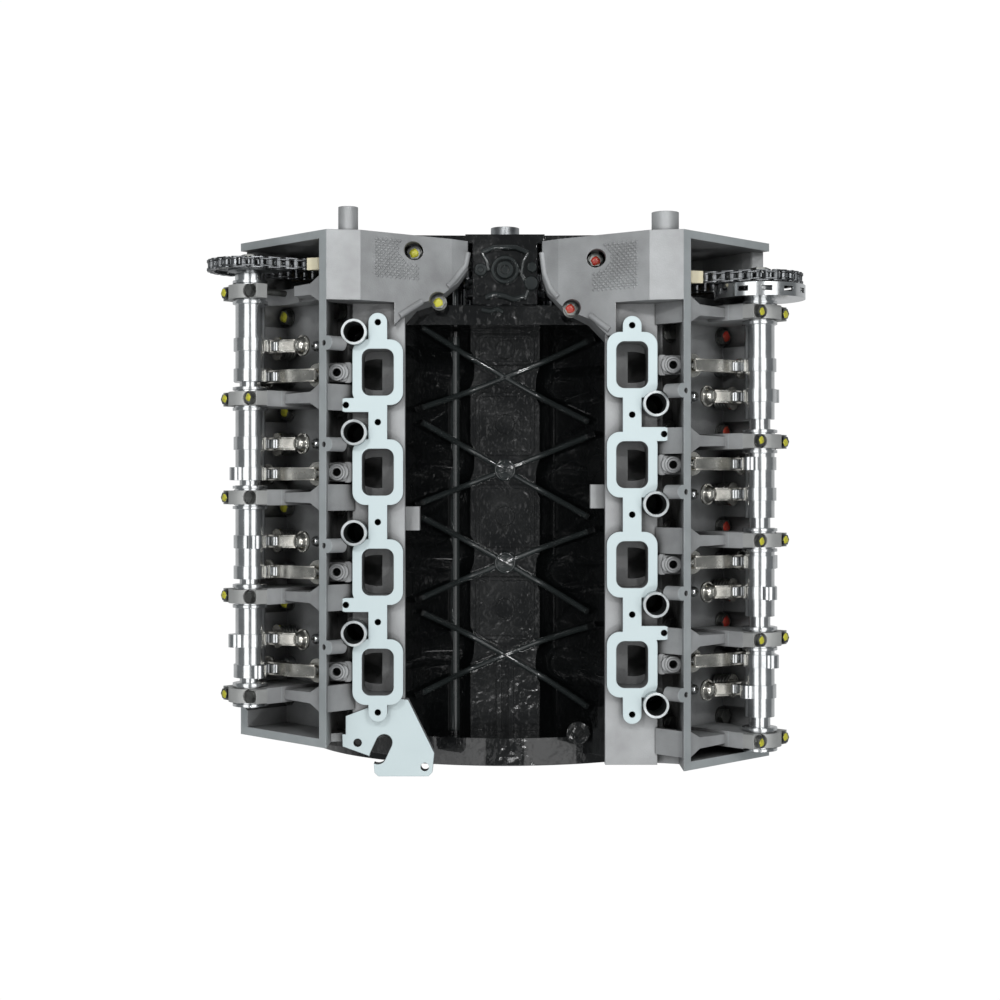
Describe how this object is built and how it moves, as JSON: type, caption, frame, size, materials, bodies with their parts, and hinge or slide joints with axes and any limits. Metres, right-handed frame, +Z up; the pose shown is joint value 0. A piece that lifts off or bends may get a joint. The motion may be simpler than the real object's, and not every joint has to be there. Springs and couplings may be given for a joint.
{
  "type": "car engine",
  "caption": "V8 long block with bare single-cam heads: crank train, coupled camshafts and chains in a ribbed black block with intake, bell housing and flywheel faces",
  "frame": {"origin": "on the crankshaft axis at the bell housing face, the mouth of the pilot bore", "axes": "+X to the right bank, +Y to the front (timing) end along the crank, +Z up"},
  "size_m": [0.6479, 0.632, 0.5142],
  "materials": {
    "painted_iron": "gloss black paint over sand-cast iron",
    "cover_paint": "gloss black paint over cast aluminium",
    "pan_paint": "gloss black paint over pressed steel",
    "cast_head": "blasted cast aluminium with machined faces",
    "cast_cap": "die-cast aluminium, faces machined",
    "piston_alloy": "turned cast aluminium",
    "forged_steel": "forged and shot-blasted, journals ground",
    "ground_steel": "ground and polished",
    "rocker_steel": "pressed and tumbled",
    "spring_steel": "oil-tempered wire",
    "valve_steel": "forged, stems ground",
    "chain_steel": "oiled plates",
    "sprocket_steel": "sintered",
    "target_steel": "pressed, bright",
    "bolt_steel": "phosphated",
    "bearing_alloy": "plain bearing lining",
    "gasket_steel": "multi-layer steel",
    "tube_steel": "drawn tube",
    "sheet_steel": "pressed sheet",
    "guide_nylon": "moulded, natural",
    "arm_nylon": "moulded, oil-stained",
    "seal_rubber": "moulded lip seal"
  },
  "bodies": {
    "block": {"cylinder_block": "painted_iron", "bedplate": "painted_iron", "bedplate_bolts": "bolt_steel", "main_bearings": "bearing_alloy", "connecting_rods": "forged_steel", "pistons": "piston_alloy", "piston_rings": "spring_steel", "wrist_pins": "ground_steel", "head_gaskets": "gasket_steel", "head_left": "cast_head", "head_right": "cast_head", "head_bolts": "bolt_steel", "front_head_bolts": "bolt_steel", "intake_valves": "valve_steel", "exhaust_valves": "valve_steel", "valve_springs": "spring_steel", "spring_retainers": "rocker_steel", "lash_adjusters": "ground_steel", "intake_rockers": "rocker_steel", "exhaust_rockers": "rocker_steel", "rocker_rollers": "ground_steel", "cam_caps_left": "cast_cap", "cam_caps_right": "cast_cap", "cam_cap_bolts": "bolt_steel", "idler_shaft": "ground_steel", "primary_chain": "chain_steel", "left_chain": "chain_steel", "right_chain": "chain_steel", "chain_guides": "guide_nylon", "tensioner_arms": "arm_nylon", "guide_pivots": "ground_steel", "chain_tensioners": "cast_cap", "spark_plug_tubes": "tube_steel", "timing_cover": "cover_paint", "timing_cover_bolts": "bolt_steel", "front_crank_seal": "seal_rubber", "rear_seal_carrier": "cover_paint", "oil_pump": "cast_cap", "oil_pickup": "sheet_steel", "windage_tray": "sheet_steel", "oil_pan": "pan_paint", "oil_pan_bolts": "bolt_steel", "drain_plug": "bolt_steel", "core_plugs": "painted_iron", "locating_dowels": "ground_steel"},
    "crank": {"crankshaft": "forged_steel", "crank_sprocket": "sprocket_steel", "crank_key": "forged_steel"},
    "idler": {"idler_sprocket": "sprocket_steel"},
    "cam_left": {"camshaft_left": "ground_steel", "cam_sprocket_left": "sprocket_steel", "cam_sprocket_bolts_left": "bolt_steel"},
    "cam_right": {"camshaft_right": "ground_steel", "cam_sprocket_right": "sprocket_steel", "cam_target_wheel": "target_steel", "cam_sprocket_bolts_right": "bolt_steel"}
  },
  "joints": [
    {"name": "crank_turn", "type": "hinge", "parent": "block", "child": "crank", "pos_m": [0, 0, 0], "axis": [0, 1, 0], "continuous": true, "deforming": ["connecting_rods", "primary_chain", "left_chain", "right_chain"]},
    {"name": "idler_turn", "type": "hinge", "parent": "block", "child": "idler", "pos_m": [0, 0, 0.13], "axis": [0, 1, 0], "continuous": true},
    {"name": "cam_left_turn", "type": "hinge", "parent": "block", "child": "cam_left", "pos_m": [-0.27613, 0, 0.25633], "axis": [0, 1, 0], "continuous": true},
    {"name": "cam_right_turn", "type": "hinge", "parent": "block", "child": "cam_right", "pos_m": [0.27613, 0, 0.25633], "axis": [0, 1, 0], "continuous": true}
  ],
  "couplings": [
    {"joint": "idler_turn", "follows": "crank_turn", "ratio": 0.5},
    {"joint": "cam_left_turn", "follows": "crank_turn", "ratio": 0.5},
    {"joint": "cam_right_turn", "follows": "crank_turn", "ratio": 0.5}
  ]
}
